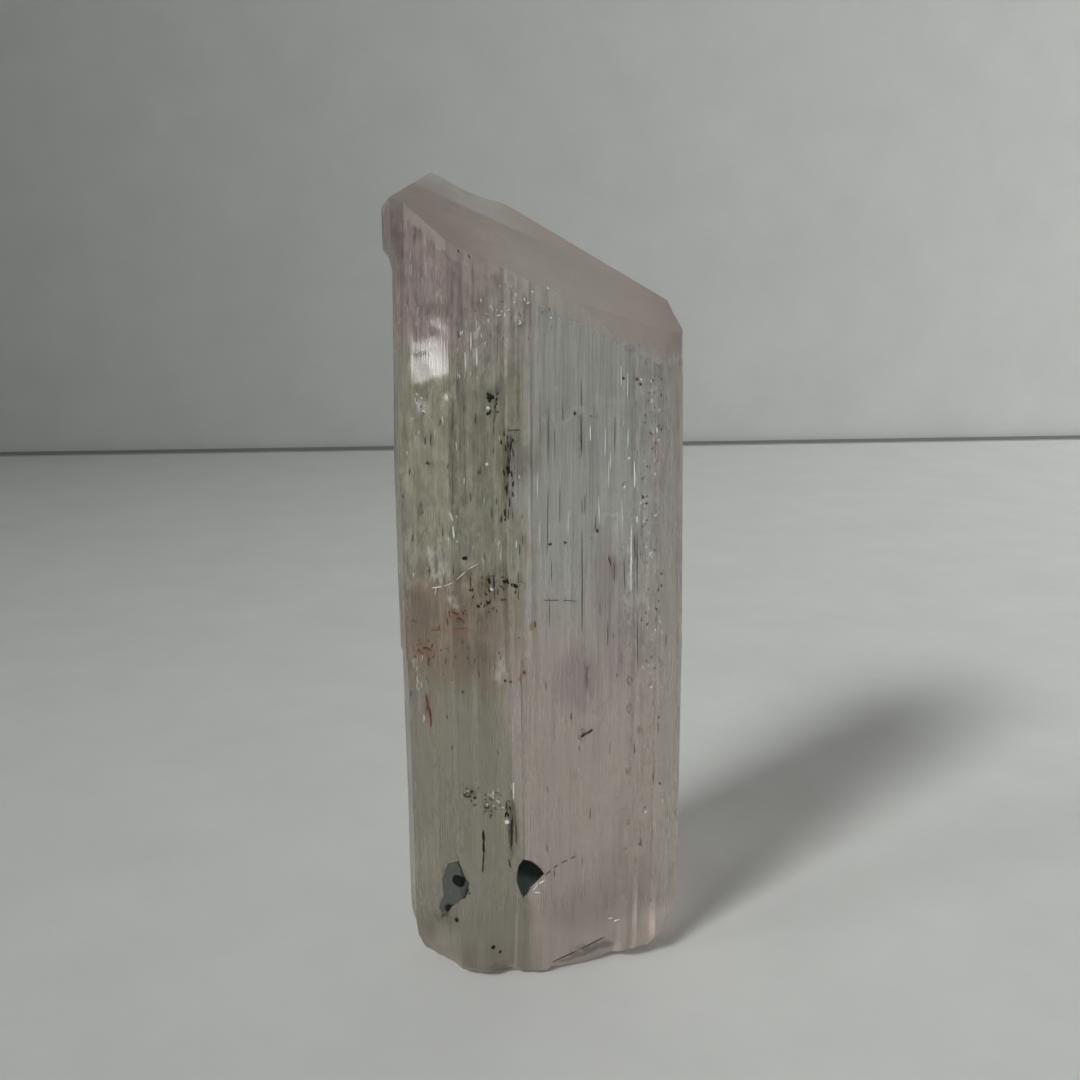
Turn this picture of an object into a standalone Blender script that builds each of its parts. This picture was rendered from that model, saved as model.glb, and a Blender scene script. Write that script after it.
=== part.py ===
"""A kunzite crystal: a flattened, striated prism with a slanted tip and a worn, broken base.

Two dark mineral grains sit in open pits low on its front. Metres, +Z up, front towards -Y.
Run with: blender --background --python part.py
"""
import math
import random

import bmesh
import bpy
from mathutils import Matrix, Vector

MM = 0.001

# Driving sizes, in millimetres
HEIGHT = 60.0
THICKNESS = 9.6
LEFT_HALF_WIDTH = 10.55
RIGHT_HALF_WIDTH = 10.7
TURN_DEG = 13.0
STOCK_TOP = HEIGHT + 2.5
GRAIN_GAP = 0.3
SEED = 41

# The cross-section in the crystal's own axes: u along the wide face, v through the thickness.
# Each facet starts at a corner and runs anticlockwise to the next one, seen from above.
# name: (u, v, number of ridges, relief of the ridges)
HALF = THICKNESS / 2
SECTION = {
    "left side": (-LEFT_HALF_WIDTH, 1.5, 3, 0.04),
    "left front prism": (-LEFT_HALF_WIDTH, -1.5, 8, 0.05),
    "left bevel": (-7.5, -HALF + 0.4, 3, 0.07),
    "striated front": (-5.8, -HALF + 0.2, 15, 0.10),
    "clear front": (-0.8, -HALF, 10, 0.04),
    "etched front": (5.25, -HALF + 0.05, 7, 0.08),
    "right front prism": (8.1, -HALF + 0.35, 5, 0.06),
    "right side": (RIGHT_HALF_WIDTH, -1.95, 5, 0.06),
    "right back prism": (RIGHT_HALF_WIDTH, 3.3, 3, 0.05),
    "right back": (9.2, HALF - 0.05, 10, 0.12),
    "middle back": (3.0, HALF + 0.15, 11, 0.14),
    "left back": (-3.5, HALF + 0.1, 6, 0.10),
    "left back prism": (-7.3, HALF - 0.2, 6, 0.07),
}

# Heights where the wall has a ring of corners. The close pairs are growth ledges, where a ridge can end.
# Between the two shift limits, each bundle of ridges has its rings a little higher or lower.
WALL_HEIGHTS = (5.4, 8.6, 12.4, 16.4, 16.7, 20.8, 24.8, 25.2, 29.6, 34.2, 34.5, 39.0, 43.4, 43.7, 47.4, 50.6)
LEDGE_HEIGHTS = (16.5, 25.0, 34.3, 43.5)
LEDGE_DROP = 0.09
LEDGE_SHIFT = 1.7
SHIFT_LOW, SHIFT_HIGH = 12.0, 48.0
SHIFT_FADE = 6.0

# How uneven the ridges are: as a share of a ridge's width, and of its relief where two facets meet
RIDGE_JITTER = 0.33
CORNER_RELIEF = 0.5
RIDGES_IN_A_BUNDLE = 3

# The side edges lean in a little: (height, x of the left edge, x of the right edge)
SIDE_LEAN = (
    (0.0, -10.22, 11.0),
    (12.0, -10.27, 11.0),
    (24.8, -10.47, 10.95),
    (25.2, -10.6, 10.95),
    (38.0, -10.78, 10.75),
    (50.0, -10.6, 10.45),
    (STOCK_TOP, -10.6, 10.35),
)

# The fin is a thin growth plate that stands out of the left side under the tip: (height, how far it stands out)
FIN = ((53.3, 0.0), (54.2, 0.22), (54.75, 0.66), (STOCK_TOP, 0.72))

# The worn base. Along the front, from left to right: (x, height of the broken edge, how far the underside
# runs in before it meets the resting face, 1 for a rounded edge or 0 for a plain chip)
FRONT_BASE = (
    (-10.6, 3.9, 3.2, 1.0),
    (-9.8, 3.6, 3.0, 1.0),
    (-8.5, 2.5, 2.8, 1.0),
    (-7.0, 2.2, 2.6, 1.0),
    (-5.3, 1.0, 1.9, 1.0),
    (-4.0, 0.95, 1.7, 1.0),
    (-3.4, 1.35, 2.1, 1.0),
    (-2.5, 1.4, 2.1, 1.0),
    (-1.8, 0.75, 1.5, 1.0),
    (-0.7, 0.4, 1.0, 1.0),
    (0.4, 0.4, 1.0, 1.0),
    (0.9, 0.85, 1.0, 0.4),
    (1.5, 0.9, 0.8, 0.0),
    (3.3, 1.3, 0.9, 0.0),
    (5.4, 2.5, 1.6, 0.0),
    (6.2, 1.65, 2.8, 1.0),
    (8.2, 1.7, 3.0, 1.0),
    (9.0, 2.2, 2.9, 1.0),
    (9.7, 2.6, 2.7, 1.0),
    (10.9, 4.1, 2.4, 1.0),
)
BACK_BASE = (
    (-10.6, 4.4, 3.4, 1.0),
    (-8.1, 3.0, 2.2, 1.0),
    (-4.0, 1.6, 1.2, 1.0),
    (-1.5, 2.3, 1.5, 0.2),
    (0.5, 1.1, 1.0, 1.0),
    (4.5, 1.5, 1.4, 1.0),
    (7.9, 2.9, 2.2, 1.0),
    (11.0, 4.6, 2.8, 1.0),
)
ROUND_INSET = (0.0, 0.06, 0.29, 0.66, 1.0)
CHIP_INSET = (0.0, 0.24, 0.55, 0.85, 1.0)
BASE_RISE = (1.0, 0.72, 0.38, 0.1, 0.0)
DEEPEST_INSET = 0.8
SPINE_HALF_LENGTH = 6.0

# The tip's flat faces, each as height at the axis, slope along x and slope along y
TIP_FACES = {
    "main slant": (HEIGHT - 5.48, -0.555, 0.436),
    "back bevel": (HEIGHT - 3.42, -0.58, -0.03),
    "right front bevel": (HEIGHT + 3.7, -1.357, 2.141),
    "left chamfer": (HEIGHT + 6.5, 0.79, 0.0),
}
CUT_TOLERANCE = 1e-8

# Shallow shell-shaped chips: centre, radii and turn about the vertical in degrees
CHIPS = {
    "lens chip": ((-3.8, 5.0, 65.5), (7.0, 5.6, 7.4), -20.0),
    "edge chip low": ((2.6, 7.7, 57.6), (2.4, 3.6, 3.4), 0.0),
    "back scar": ((1.8, 9.3, 22.0), (3.0, 4.3, 7.5), 0.0),
}

# Outlines of the dark grains as seen from the front: (x, z)
LEFT_GRAIN = (
    (-6.9, 9.45), (-6.2, 9.75), (-5.8, 8.9), (-5.35, 7.9), (-5.5, 7.2), (-6.1, 6.7), (-6.75, 5.9),
    (-7.1, 5.1), (-7.55, 4.8), (-7.8, 5.4), (-7.6, 6.1), (-7.3, 6.8), (-7.5, 8.0), (-7.2, 8.8),
)
RIGHT_GRAIN = (
    (-1.6, 9.25), (-1.2, 9.65), (-0.65, 9.45), (-0.1, 9.05), (0.35, 8.45), (-0.15, 7.9), (-0.7, 7.35),
    (-0.95, 6.8), (-1.2, 6.5), (-1.45, 7.0), (-1.75, 7.9), (-1.75, 8.5),
)
GRAIN_DEPTH = 1.5
TOOL_FRONT = -9.0
LEFT_GRAIN_FACE_Y = -5.3
RIGHT_GRAIN_FACE_Y = -4.9
GRAIN_INNER_SCALE = 0.6
SHARPEST_CORNER = 0.6

# Etched pits and grooves cut into the faces: (x, z, width, height, depth), on the front
GROOVES = (
    (-2.1, 12.6, 0.34, 3.1, 0.5),
    (3.2, 19.3, 0.42, 0.6, 0.35),
    (-5.5, 15.4, 0.35, 0.25, 0.3),
    (-3.2, 14.9, 0.7, 0.45, 0.25),
    (-3.5, 31.6, 0.5, 0.9, 0.3),
    (-1.4, 31.1, 0.5, 0.4, 0.3),
    (-2.3, 39.4, 0.3, 2.6, 0.32),
)
PITS_IN_A_LANE = 17
PIT_LOW, PIT_HIGH = 9.0, 46.0
PIT_LANES = ((5.8, 6.9), (7.5, 8.7))
PIT_WIDTH = (0.12, 0.26)
PIT_HEIGHT = (0.25, 0.6)
PIT_DEPTH = (0.12, 0.22)
PIT_LEAN_DEG = 14.0
PIT_PLACE = (0.3, 0.7)

COLOURS = {
    "kunzite_crystal": ((0.72, 0.6, 0.6), 0.25),
    "dark_grain_left": ((0.06, 0.07, 0.06), 0.3),
    "dark_grain_right": ((0.012, 0.02, 0.022), 0.2),
}


def clear_scene():
    for obj in list(bpy.data.objects):
        bpy.data.objects.remove(obj, do_unlink=True)


def new_collection(name):
    collection = bpy.data.collections.new(name)
    bpy.context.scene.collection.children.link(collection)
    return collection


def blend(table, at):
    """Read a table of rows, sorted by their first value, at a place between two rows."""
    if at <= table[0][0]:
        return table[0][1:]
    for low, high in zip(table, table[1:]):
        if at <= high[0]:
            share = (at - low[0]) / (high[0] - low[0])
            return tuple(a + (b - a) * share for a, b in zip(low[1:], high[1:]))
    return table[-1][1:]


def turned(u, v):
    """From the crystal's own axes to x and y: the wide face is turned a little to the right."""
    return Vector((u, v)) @ Matrix.Rotation(math.radians(-TURN_DEG), 2)


class Column:
    """One vertical line of the wall: where it stands, which way is out, and its ridge's relief."""

    def __init__(self, place, outward, relief, ledges, shift, on_front):
        self.place = place
        self.outward = outward
        self.relief = relief
        self.bottom_ledge, self.top_ledge = ledges
        self.shift = shift
        self.on_front = on_front
        self.on_left_side = False

    def ring_height(self, height):
        """The height of this column's corner in the ring that is named by a height."""
        share = min(height - SHIFT_LOW, SHIFT_HIGH - height) / SHIFT_FADE
        return height + self.shift * max(0.0, min(1.0, share))

    def stand_out(self, height):
        """Relief at a height: full between the ridge's two ends, and a step lower past them."""
        out = self.relief
        if height > self.top_ledge or height < self.bottom_ledge:
            out -= LEDGE_DROP
        if self.on_left_side:
            out += blend(FIN, height)[0]
        return out


def section_columns():
    """Walk round the cross-section and divide each facet into uneven ridges."""
    rng = random.Random(SEED)
    rows = list(SECTION.items())
    columns = []
    for index, (name, (u, v, ridges, relief)) in enumerate(rows):
        next_u, next_v = rows[(index + 1) % len(rows)][1][:2]
        start = turned(u, v)
        step = turned(next_u, next_v) - start
        outward = Vector((step.y, -step.x)).normalized()
        front = "front" in name or name in ("left bevel", "left side")
        ledges = (0.0, STOCK_TOP)
        shift = 0.0
        for ridge in range(ridges):
            along = ridge / ridges
            if ridge:
                along += rng.uniform(-RIDGE_JITTER, RIDGE_JITTER) / ridges
            if ridge % RIDGES_IN_A_BUNDLE == 1:
                low = rng.choice(LEDGE_HEIGHTS[:2] + (0.0, 0.0))
                high = rng.choice(LEDGE_HEIGHTS[2:] + (STOCK_TOP, STOCK_TOP))
                ledges = (low, high)
                shift = rng.uniform(-LEDGE_SHIFT, LEDGE_SHIFT)
            share = CORNER_RELIEF if ridge == 0 else 1.0
            out = rng.uniform(-1.0, 1.0) * relief * share
            columns.append(Column(start + step * along, outward, out, ledges, shift, front))
    for column in columns[: SECTION["left side"][2] + 1]:
        column.on_left_side = True
    return columns


def leaned(place, height):
    """Move a point of the section sideways, so the side edges follow their lean."""
    left, right = blend(SIDE_LEAN, height)
    section_left = turned(*SECTION["left side"][:2]).x
    section_right = turned(*SECTION["right side"][:2]).x
    share = (place.x - section_left) / (section_right - section_left)
    return Vector((left + (right - left) * share, place.y))


def base_ring(columns, step):
    """One ring of the worn base: the wall's foot drawn in towards the section's spine."""
    ring = []
    for column in columns:
        table = FRONT_BASE if column.on_front else BACK_BASE
        rise, inset, roundness = blend(table, column.place.x)
        foot = leaned(column.place + column.outward * column.stand_out(rise), rise)
        along = turned(1.0, 0.0)
        reach = max(-SPINE_HALF_LENGTH, min(SPINE_HALF_LENGTH, foot.dot(along)))
        inward = along * reach - foot
        share = ROUND_INSET[step] * roundness + CHIP_INSET[step] * (1 - roundness)
        moved = foot + inward.normalized() * min(inset * share, inward.length * DEEPEST_INSET)
        ring.append(Vector((moved.x, moved.y, rise * BASE_RISE[step])))
    return ring


def wall_ring(columns, height):
    ring = []
    for column in columns:
        own = column.ring_height(height)
        at = leaned(column.place + column.outward * column.stand_out(height), own)
        ring.append(Vector((at.x, at.y, own)))
    return ring


def add_object(name, mesh_data, collection):
    mesh = bpy.data.meshes.new(name)
    mesh_data.to_mesh(mesh)
    mesh_data.free()
    obj = bpy.data.objects.new(name, mesh)
    collection.objects.link(obj)
    return obj


def hide_tool(obj):
    obj.hide_render = True
    obj.display_type = "WIRE"
    return obj


def loft(rings):
    """Join rings of equal length into one closed skin with a flat end at each side."""
    mesh = bmesh.new()
    corners = [[mesh.verts.new(point * MM) for point in ring] for ring in rings]
    for lower, upper in zip(corners, corners[1:]):
        for i in range(len(lower)):
            j = (i + 1) % len(lower)
            mesh.faces.new((lower[i], lower[j], upper[j], upper[i]))
    mesh.faces.new(list(reversed(corners[0])))
    mesh.faces.new(corners[-1])
    return mesh


def cut_face(mesh, height, slope_x, slope_y):
    """Slice everything above one flat face of the tip away, and close the cut."""
    normal = Vector((-slope_x, -slope_y, 1.0)).normalized()
    everything = mesh.verts[:] + mesh.edges[:] + mesh.faces[:]
    at_axis = Vector((0, 0, height)) * MM
    bmesh.ops.bisect_plane(
        mesh, geom=everything, dist=CUT_TOLERANCE, plane_co=at_axis, plane_no=normal, clear_outer=True
    )
    open_edges = [edge for edge in mesh.edges if edge.is_boundary]
    bmesh.ops.contextual_create(mesh, geom=open_edges)


def crystal_body(collection, name):
    columns = section_columns()
    heights = sorted(set(WALL_HEIGHTS) | {row[0] for row in FIN})
    rings = [base_ring(columns, step) for step in reversed(range(len(BASE_RISE)))]
    rings += [wall_ring(columns, height) for height in heights]
    mesh = loft(rings)
    for face in TIP_FACES.values():
        cut_face(mesh, *face)
    return add_object(name, mesh, collection)


def front_y(x):
    """The y of the plain front at an x, before its ridges."""
    names = [name for name in SECTION if "front" in name or name == "left bevel"]
    corners = [turned(*SECTION[name][:2]) for name in names]
    return blend([(corner.x, corner.y) for corner in corners], x)[0]


def ball_tool(name, centre, radii, turn_deg, collection, detail=4):
    mesh = bmesh.new()
    bmesh.ops.create_icosphere(mesh, subdivisions=detail, radius=MM)
    place = Matrix.Translation(Vector(centre) * MM)
    turn = Matrix.Rotation(math.radians(turn_deg), 4, "Z")
    size = Matrix.Diagonal((*radii, 1.0))
    mesh.transform(place @ turn @ size)
    return hide_tool(add_object(name, mesh, collection))


def pit_tool(collection):
    """All etched pits as one set of pointed diamonds that don't touch each other."""
    rng = random.Random(SEED + 1)
    pits = [(*groove, 0.0) for groove in GROOVES]
    spacing = (PIT_HIGH - PIT_LOW) / PITS_IN_A_LANE
    for lane in PIT_LANES:
        for index in range(PITS_IN_A_LANE):
            x = rng.uniform(*lane)
            z = PIT_LOW + spacing * (index + rng.uniform(*PIT_PLACE))
            size = (rng.uniform(*PIT_WIDTH), rng.uniform(*PIT_HEIGHT), rng.uniform(*PIT_DEPTH))
            pits.append((x, z, *size, rng.uniform(-PIT_LEAN_DEG, PIT_LEAN_DEG)))
    mesh = bmesh.new()
    for x, z, width, height, depth, lean_deg in pits:
        made = bmesh.ops.create_icosphere(mesh, subdivisions=1, radius=MM)
        size = Matrix.Diagonal((width, depth, height, 1.0))
        lean = Matrix.Rotation(math.radians(lean_deg), 4, "Y")
        place = Matrix.Translation(Vector((x, front_y(x), z)) * MM)
        bmesh.ops.transform(mesh, matrix=place @ lean @ size, verts=made["verts"])
    return hide_tool(add_object("pit_tool", mesh, collection))


def grown_outline(outline, by):
    """Move a closed outline outwards by a distance, corner by corner."""
    points = [Vector(point) for point in outline]
    grown = []
    for index, point in enumerate(points):
        before = (point - points[index - 1]).normalized()
        after = (points[(index + 1) % len(points)] - point).normalized()
        out = Vector((-before.y, before.x)) + Vector((-after.y, after.x))
        out.normalize()
        spread = max(SHARPEST_CORNER, out.dot(Vector((-after.y, after.x))))
        grown.append(point + out * (by / spread))
    return grown


def push_in(mesh, face, distance):
    """Extrude a face towards +Y and return the new end face."""
    made = bmesh.ops.extrude_face_region(mesh, geom=[face])
    corners = [item for item in made["geom"] if isinstance(item, bmesh.types.BMVert)]
    bmesh.ops.translate(mesh, vec=Vector((0, distance, 0)) * MM, verts=corners)
    return next(item for item in made["geom"] if isinstance(item, bmesh.types.BMFace))


def grain_tool(name, outline, grow, face_y, back, collection):
    """A plug that runs straight in through the crystal's face, and then tapers to its inner end."""
    points = grown_outline(outline, grow)
    centre = sum(points, Vector((0, 0))) / len(points)
    mesh = bmesh.new()
    rim = [mesh.verts.new(Vector((point.x, TOOL_FRONT, point.y)) * MM) for point in points]
    outer = mesh.faces.new(rim)
    middle = push_in(mesh, outer, face_y - TOOL_FRONT)
    inner = push_in(mesh, middle, back - face_y)
    about = Matrix.Translation(-Vector((centre.x, 0, centre.y)) * MM)
    scale = (GRAIN_INNER_SCALE, 1.0, GRAIN_INNER_SCALE)
    bmesh.ops.scale(mesh, vec=scale, space=about, verts=inner.verts[:])
    bmesh.ops.delete(mesh, geom=[middle], context="FACES_ONLY")
    bmesh.ops.recalc_face_normals(mesh, faces=mesh.faces[:])
    return add_object(name, mesh, collection)


def add_boolean(obj, tool, operation):
    modifier = obj.modifiers.new(tool.name, "BOOLEAN")
    modifier.operation = operation
    modifier.solver = "EXACT"
    modifier.object = tool


def add_material(obj):
    colour, roughness = COLOURS[obj.name]
    material = bpy.data.materials.new(obj.name)
    material.use_nodes = True
    shader = material.node_tree.nodes["Principled BSDF"]
    shader.inputs["Base Color"].default_value = (*colour, 1.0)
    shader.inputs["Roughness"].default_value = roughness
    shader.inputs["Metallic"].default_value = 0.0
    obj.data.materials.append(material)


def main():
    clear_scene()
    parts = new_collection("kunzite_crystal_specimen")
    tools = new_collection("cutters")

    crystal = crystal_body(parts, "kunzite_crystal")
    envelope = hide_tool(crystal_body(tools, "envelope_tool"))

    for name, (centre, radii, turn_deg) in CHIPS.items():
        add_boolean(crystal, ball_tool(name.replace(" ", "_"), centre, radii, turn_deg, tools), "DIFFERENCE")
    add_boolean(crystal, pit_tool(tools), "DIFFERENCE")

    grains = {
        "dark_grain_left": (LEFT_GRAIN, LEFT_GRAIN_FACE_Y),
        "dark_grain_right": (RIGHT_GRAIN, RIGHT_GRAIN_FACE_Y),
    }
    for name, (outline, face_y) in grains.items():
        back = face_y + GRAIN_DEPTH
        hole = grain_tool(name + "_pit_tool", outline, GRAIN_GAP, face_y, back + GRAIN_GAP, tools)
        add_boolean(crystal, hide_tool(hole), "DIFFERENCE")
        grain = grain_tool(name, outline, 0.0, face_y, back, parts)
        add_boolean(grain, envelope, "INTERSECT")
        add_material(grain)
    add_material(crystal)


main()
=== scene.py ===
"""Dresses a kunzite crystal: striated clear kunzite, two dark grains, fine inclusions, and a pale stage."""

import math
import random
from contextlib import contextmanager

import bpy
from bpy.props import FloatProperty, FloatVectorProperty, IntProperty, PointerProperty
from mathutils import Matrix, Vector


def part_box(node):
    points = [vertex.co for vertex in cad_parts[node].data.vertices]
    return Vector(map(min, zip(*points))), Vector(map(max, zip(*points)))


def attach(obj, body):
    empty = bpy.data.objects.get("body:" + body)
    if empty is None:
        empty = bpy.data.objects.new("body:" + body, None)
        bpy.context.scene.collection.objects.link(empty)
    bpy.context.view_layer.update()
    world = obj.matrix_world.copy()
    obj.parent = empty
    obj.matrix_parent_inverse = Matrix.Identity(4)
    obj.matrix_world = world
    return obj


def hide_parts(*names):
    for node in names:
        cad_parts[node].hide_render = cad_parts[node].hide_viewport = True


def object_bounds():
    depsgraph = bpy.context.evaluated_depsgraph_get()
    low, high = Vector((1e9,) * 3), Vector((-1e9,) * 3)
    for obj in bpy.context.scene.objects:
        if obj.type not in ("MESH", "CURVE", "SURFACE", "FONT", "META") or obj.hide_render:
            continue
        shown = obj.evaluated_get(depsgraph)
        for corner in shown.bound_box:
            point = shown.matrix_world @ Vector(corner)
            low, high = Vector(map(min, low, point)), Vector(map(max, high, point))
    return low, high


bl_info = {
    "name": "Kunzite crystal",
    "version": (1, 0, 0),
    "blender": (4, 5, 0),
    "location": "3D View > Sidebar > Kunzite",
    "description": "Dresses a striated kunzite crystal and its dark grains, and sets them on a pale stage",
    "category": "Object",
}

MM = 0.001
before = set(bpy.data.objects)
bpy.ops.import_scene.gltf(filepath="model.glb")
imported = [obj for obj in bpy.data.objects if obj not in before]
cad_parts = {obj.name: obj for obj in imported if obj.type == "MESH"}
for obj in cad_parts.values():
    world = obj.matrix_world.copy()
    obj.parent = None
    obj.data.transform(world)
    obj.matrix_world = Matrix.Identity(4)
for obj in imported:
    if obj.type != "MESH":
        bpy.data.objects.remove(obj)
CAD_LOW, CAD_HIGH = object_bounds()
TIP_Z = CAD_HIGH.z
BODY = "root"

# The wide face is turned this far to the right; these two directions run across it and through it
TURN = math.radians(13.0)
ACROSS = Vector((math.cos(TURN), math.sin(TURN), 0.0))
THROUGH = Vector((-math.sin(TURN), math.cos(TURN), 0.0))
UP = Vector((0.0, 0.0, 1.0))

# Where the photograph was taken from. Its picture is 1080 pixels wide and high.
PICTURE = 1080
PITCH = math.radians(13.0)
LENS = 46.56
SENSOR = 36.0
EYE = Vector((0.0, -0.102606, 0.056982))
FOCAL_PIXELS = LENS / SENSOR * PICTURE
CAMERA_TILT = math.radians(90.0) - PITCH


def sight_line(u, v):
    """The direction in which the camera sees a point of the picture."""
    in_camera = Vector((u - PICTURE / 2, PICTURE / 2 - v, -FOCAL_PIXELS))
    return (Matrix.Rotation(CAMERA_TILT, 3, "X") @ in_camera).normalized()


def seen_at(solid, u, v):
    """The place and the outward direction of the skin that shows at a point of the picture."""
    found, place, normal, _ = solid.ray_cast(EYE, sight_line(u, v))
    if not found:
        raise RuntimeError(f"{solid.name} does not show at {u}, {v}")
    return place, normal


def pixel_size(place):
    """The width in metres that one pixel of the picture covers at a place."""
    return (place - EYE).length / FOCAL_PIXELS


def length(name, description, millimetres):
    """A size that a user can change, kept in metres."""
    size = millimetres * MM
    return FloatProperty(name=name, description=description, default=size, unit="LENGTH", precision=5)


def colour(name, description, red, green, blue):
    """A finish colour that a user can change."""
    return FloatVectorProperty(
        name=name, description=description, default=(red, green, blue), subtype="COLOR", min=0.0, max=1.0
    )


class KunziteSizes(bpy.types.PropertyGroup):
    """Sizes of the crystal's fine relief and of its inclusions."""

    stria_step: length("Stria step", "Distance between the fine cuts across the wide faces", 0.12)
    side_step: length("Side step", "Distance between the fine cuts along the narrow sides", 0.25)
    level_step: length("Level step", "Distance between the cuts along the crystal's length", 0.6)
    coarse_relief: length("Coarse relief", "Depth of the wide upright ridges", 0.10)
    fine_relief: length("Fine relief", "Depth of the fine upright striae", 0.045)
    etch_relief: length("Etch relief", "Depth of the etched dimples on the right of the front", 0.12)
    break_relief: length("Break relief", "Depth of the waves on the broken base", 0.22)
    tip_relief: length("Tip relief", "Depth of the soft swells on the slanted tip", 0.015)
    grain_seam: length("Grain seam", "Hairline left between a dark grain and its pit", 0.04)
    seed: IntProperty(name="Seed", description="Starts the random placing of small inclusions", default=7)


class KunziteColours(bpy.types.PropertyGroup):
    """Colours of the crystal's zones, marks and dark minerals, some of them painted shade, reflection and
    highlights.
    """

    clear: colour("Clear", "Cool clear zone of the upper right", 0.575, 0.575, 0.54)
    pink: colour("Pink", "Pale pink of the lower right", 0.575, 0.50, 0.455)
    lilac: colour("Lilac", "Deeper lilac of the upper left", 0.43, 0.345, 0.335)
    mauve: colour("Mauve", "Mauve clouds right of the middle", 0.44, 0.36, 0.36)
    beige: colour("Beige", "Beige of the lower left", 0.38, 0.355, 0.285)
    olive: colour("Olive", "Olive of the middle left", 0.425, 0.405, 0.31)
    brown: colour("Brown", "Brown band across the left", 0.33, 0.25, 0.18)
    side: colour("Side", "Beige pink of the smooth right strip", 0.69, 0.61, 0.54)
    tip: colour("Tip", "Frosted beige of the slanted tip", 0.625, 0.555, 0.485)
    tip_pink: colour("Tip pink", "Pinker right end of the slanted tip", 0.60, 0.49, 0.45)
    tip_brown: colour("Tip brown", "Brownish band below the tip's back edge", 0.50, 0.40, 0.37)
    tip_grey: colour("Tip grey", "Greyish facet along the tip's back edge", 0.72, 0.70, 0.66)
    # Whitish clouds and veils, partly painted reflection off healed cracks
    pale: colour("Pale", "Whitish clouds and veils", 0.80, 0.80, 0.76)
    # Grey brown smudges; the one at the foot below the notch is painted shadow
    stain_and_shade: colour("Stain", "Grey brown smudges", 0.13, 0.11, 0.085)
    # The chip's dark olive is partly painted shade under its undercut edge
    shaded_chip: colour("Chip", "Dark olive of the flat chip low on the right", 0.11, 0.11, 0.08)
    rust: colour("Rust", "Rust films on the left", 0.31, 0.13, 0.08)
    dark_fleck: colour("Dark fleck", "Black needles and specks", 0.010, 0.011, 0.010)
    brown_fleck: colour("Brown fleck", "Brown ticks and hairs", 0.080, 0.058, 0.042)
    rust_fleck: colour("Rust fleck", "Red flakes", 0.10, 0.034, 0.024)
    # White ticks and crack edges, with painted highlights for the sparks
    pale_fleck: colour("Pale fleck", "White ticks and sparks", 0.72, 0.73, 0.69)
    grey_grain: colour("Grey grain", "Smooth grey of the left grain", 0.075, 0.08, 0.068)
    black_grain: colour("Black grain", "Teal black of the right grain", 0.004, 0.007, 0.0065)


class KunziteStage(bpy.types.PropertyGroup):
    """The camera's lens and the strength of the lights."""

    lens: FloatProperty(name="Lens", description="Focal length in millimetres", default=LENS)
    key_watts: FloatProperty(name="Key light", description="Strength of the left front light", default=2.8)
    side_watts: FloatProperty(name="Side light", description="Strength of the wide left light", default=1.5)
    room_light: FloatProperty(name="Room light", description="Strength of the even room light", default=0.17)
    window_watts: FloatProperty(name="Window", description="Strength of the glint's panes", default=0.0004)


def operator(operation, swapped=False):
    """One operator of a socket; its reflected form has the two values swapped."""

    def apply(socket, other):
        values = (other, socket) if swapped else (socket, other)
        return socket.maths(operation, *values)

    return apply


class Socket:
    """A value on its way through a material, so that shader maths reads as an expression."""

    def __init__(self, recipe, output):
        self.recipe = recipe
        self.output = output

    def maths(self, operation, *values):
        return self.recipe.add("ShaderNodeMath", {"operation": operation}, dict(enumerate(values)))

    __add__ = __radd__ = operator("ADD")
    __sub__ = operator("SUBTRACT")
    __rsub__ = operator("SUBTRACT", swapped=True)
    __mul__ = __rmul__ = operator("MULTIPLY")
    __truediv__ = operator("DIVIDE")
    __pow__ = operator("POWER")

    def larger(self, other):
        return self.maths("MAXIMUM", self, other)

    def rise(self, low, high):
        """0 below one value and 1 above another, with a soft change between them."""
        limits = {"Value": self, "From Min": low, "From Max": high}
        return self.recipe.add("ShaderNodeMapRange", {"interpolation_type": "SMOOTHSTEP"}, limits)

    def band(self, low, high, soft):
        """1 between two values and 0 outside them, with soft borders."""
        return self.rise(low - soft, low + soft) * (1 - self.rise(high - soft, high + soft))


# How far the noise of one seed lies from that of the next, along each axis
NOISE_STEP = (17.3, 5.1, 9.7)


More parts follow.
